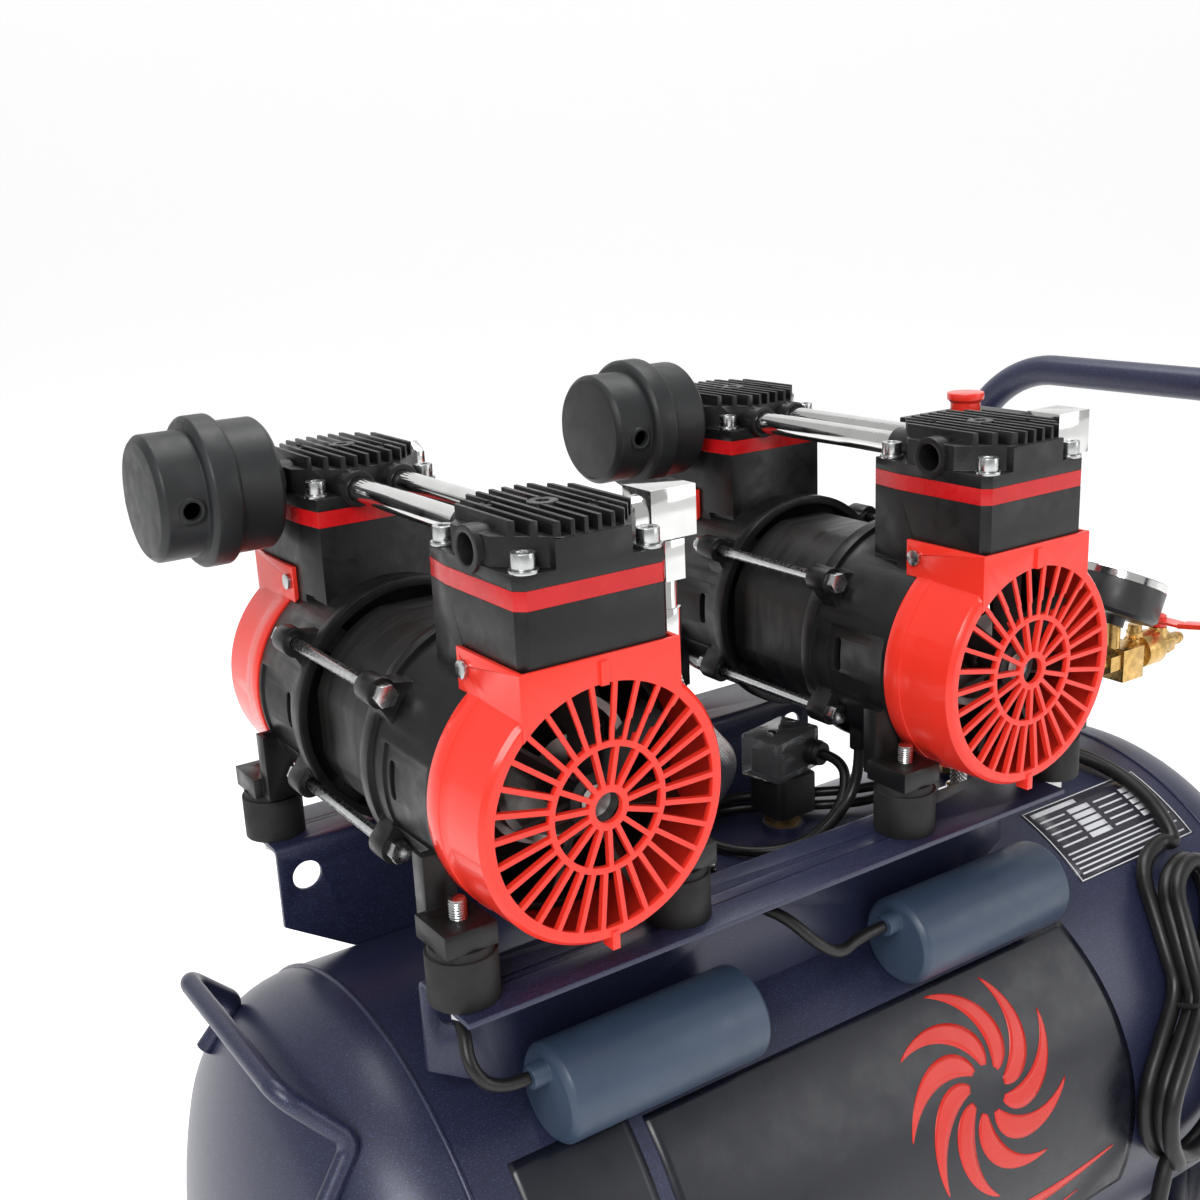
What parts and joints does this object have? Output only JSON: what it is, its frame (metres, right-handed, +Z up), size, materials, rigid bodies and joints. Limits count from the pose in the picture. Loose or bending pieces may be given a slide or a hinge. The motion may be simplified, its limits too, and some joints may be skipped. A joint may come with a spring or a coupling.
{
  "type": "air compressor",
  "caption": "Oil-free air compressor: twin-cylinder motor pumps on rails over a horizontal tank with wheels, handles, pressure switch, gauge, outlet valve and tied mains cord.",
  "frame": {"origin": "on the floor, under the middle of the machine", "axes": "+X runs along the tank towards the push handle and wheels, -Y is the front with the capacitors and cord, +Z is up"},
  "size_m": [0.7704, 0.3935, 0.7115],
  "materials": {
    "black_casting": "satin black coat",
    "red_plastic": "glossy moulded",
    "piston_alloy": "machined",
    "stator_steel": "dipped varnish",
    "rotor_steel": "turned",
    "shaft_steel": "ground",
    "fan_plastic": "moulded",
    "silencer_plastic": "moulded",
    "red_plate": "anodised",
    "sleeve_alloy": "hard anodised",
    "bearing_steel": "ground",
    "plated_tube": "bright plated",
    "plated_screw": "zinc plated",
    "mount_rubber": "moulded",
    "navy_paint": "speckled powder coat",
    "braided_hose": "braided",
    "plated_fitting": "nickel plated",
    "capacitor_case": "moulded",
    "wheel_rubber": "moulded",
    "brass_fitting": "cast and turned",
    "gauge_case": "black with a plated rim",
    "needle_paint": "matt",
    "lever_paint": "dipped",
    "switch_plastic": "moulded",
    "coil_plastic": "moulded, with a clear plug",
    "cord_rubber": "satin"
  },
  "bodies": {
    "machine": {"crankcase_front_left": "black_casting", "head_front_left": "black_casting", "fan_cover_front_left": "red_plastic", "crankcase_rear_left": "black_casting", "head_rear_left": "black_casting", "fan_cover_rear_left": "red_plastic", "stator_left": "stator_steel", "silencer_left": "silencer_plastic", "crankcase_front_right": "black_casting", "head_front_right": "black_casting", "fan_cover_front_right": "red_plastic", "crankcase_rear_right": "black_casting", "head_rear_right": "black_casting", "fan_cover_rear_right": "red_plastic", "stator_right": "stator_steel", "silencer_right": "silencer_plastic", "valve_plates": "red_plate", "cylinder_sleeves": "sleeve_alloy", "bearings": "bearing_steel", "crossover_tubes": "plated_tube", "cover_screws": "plated_screw", "tie_bolts": "plated_screw", "head_screws": "plated_screw", "rubber_mounts": "mount_rubber", "mount_studs": "plated_screw", "tank": "navy_paint", "rail_front": "navy_paint", "rail_rear": "navy_paint", "front_handle": "navy_paint", "push_handle": "navy_paint", "wheel_brackets": "navy_paint", "foot_bracket": "navy_paint", "discharge_hoses": "braided_hose", "hose_fittings": "plated_fitting", "capacitors": "capacitor_case", "axle": "shaft_steel", "foot_pads": "mount_rubber", "air_manifold": "brass_fitting", "pressure_gauge": "gauge_case", "pressure_switch": "switch_plastic", "solenoid_valve": "coil_plastic", "cord_hank": "cord_rubber", "supply_leads": "cord_rubber", "power_cord": "cord_rubber", "power_plug": "cord_rubber"},
    "rotor_left": {"crankshaft_left": "shaft_steel", "rotor_core_left": "rotor_steel", "cooling_fans_left": "fan_plastic"},
    "piston_front_left": {"piston_front_left": "piston_alloy"},
    "piston_rear_left": {"piston_rear_left": "piston_alloy"},
    "rotor_right": {"crankshaft_right": "shaft_steel", "rotor_core_right": "rotor_steel", "cooling_fans_right": "fan_plastic"},
    "piston_front_right": {"piston_front_right": "piston_alloy"},
    "piston_rear_right": {"piston_rear_right": "piston_alloy"},
    "wheel_front": {"wheel_front": "wheel_rubber"},
    "wheel_rear": {"wheel_rear": "wheel_rubber"},
    "knob": {"switch_knob": "red_plastic"},
    "lever": {"valve_lever": "lever_paint"},
    "needle": {"gauge_needle": "needle_paint"}
  },
  "joints": [
    {"name": "rotor_left_spin", "type": "hinge", "parent": "machine", "child": "rotor_left", "pos_m": [-0.22785, 0, 0.557], "axis": [0, 1, 0], "continuous": true},
    {"name": "piston_front_left_stroke", "type": "slide", "parent": "machine", "child": "piston_front_left", "axis": [0, 0, 1], "range_m": [-0.014, 0]},
    {"name": "piston_rear_left_stroke", "type": "slide", "parent": "machine", "child": "piston_rear_left", "axis": [0, 0, 1], "range_m": [0, 0.014]},
    {"name": "rotor_right_spin", "type": "hinge", "parent": "machine", "child": "rotor_right", "pos_m": [0.04455, 0, 0.557], "axis": [0, 1, 0], "continuous": true},
    {"name": "piston_front_right_stroke", "type": "slide", "parent": "machine", "child": "piston_front_right", "axis": [0, 0, 1], "range_m": [-0.014, 0]},
    {"name": "piston_rear_right_stroke", "type": "slide", "parent": "machine", "child": "piston_rear_right", "axis": [0, 0, 1], "range_m": [0, 0.014]},
    {"name": "wheel_front_spin", "type": "hinge", "parent": "machine", "child": "wheel_front", "pos_m": [0.2723, 0, 0.075], "axis": [0, 1, 0], "continuous": true},
    {"name": "wheel_rear_spin", "type": "hinge", "parent": "machine", "child": "wheel_rear", "pos_m": [0.2723, 0, 0.075], "axis": [0, 1, 0], "continuous": true},
    {"name": "knob_push", "type": "slide", "parent": "machine", "child": "knob", "axis": [0, 0, 1], "range_m": [-0.006, 0]},
    {"name": "lever_turn", "type": "hinge", "parent": "machine", "child": "lever", "pos_m": [0.3583, 0, 0.475], "axis": [0, 0, 1], "range_deg": [0, 90]},
    {"name": "needle_turn", "type": "hinge", "parent": "machine", "child": "needle", "pos_m": [0.29605, 0, 0.4949], "axis": [0.4147, 0, 0.91], "range_deg": [-270, 0], "stiffness_Nm_per_rad": 0.002}
  ]
}
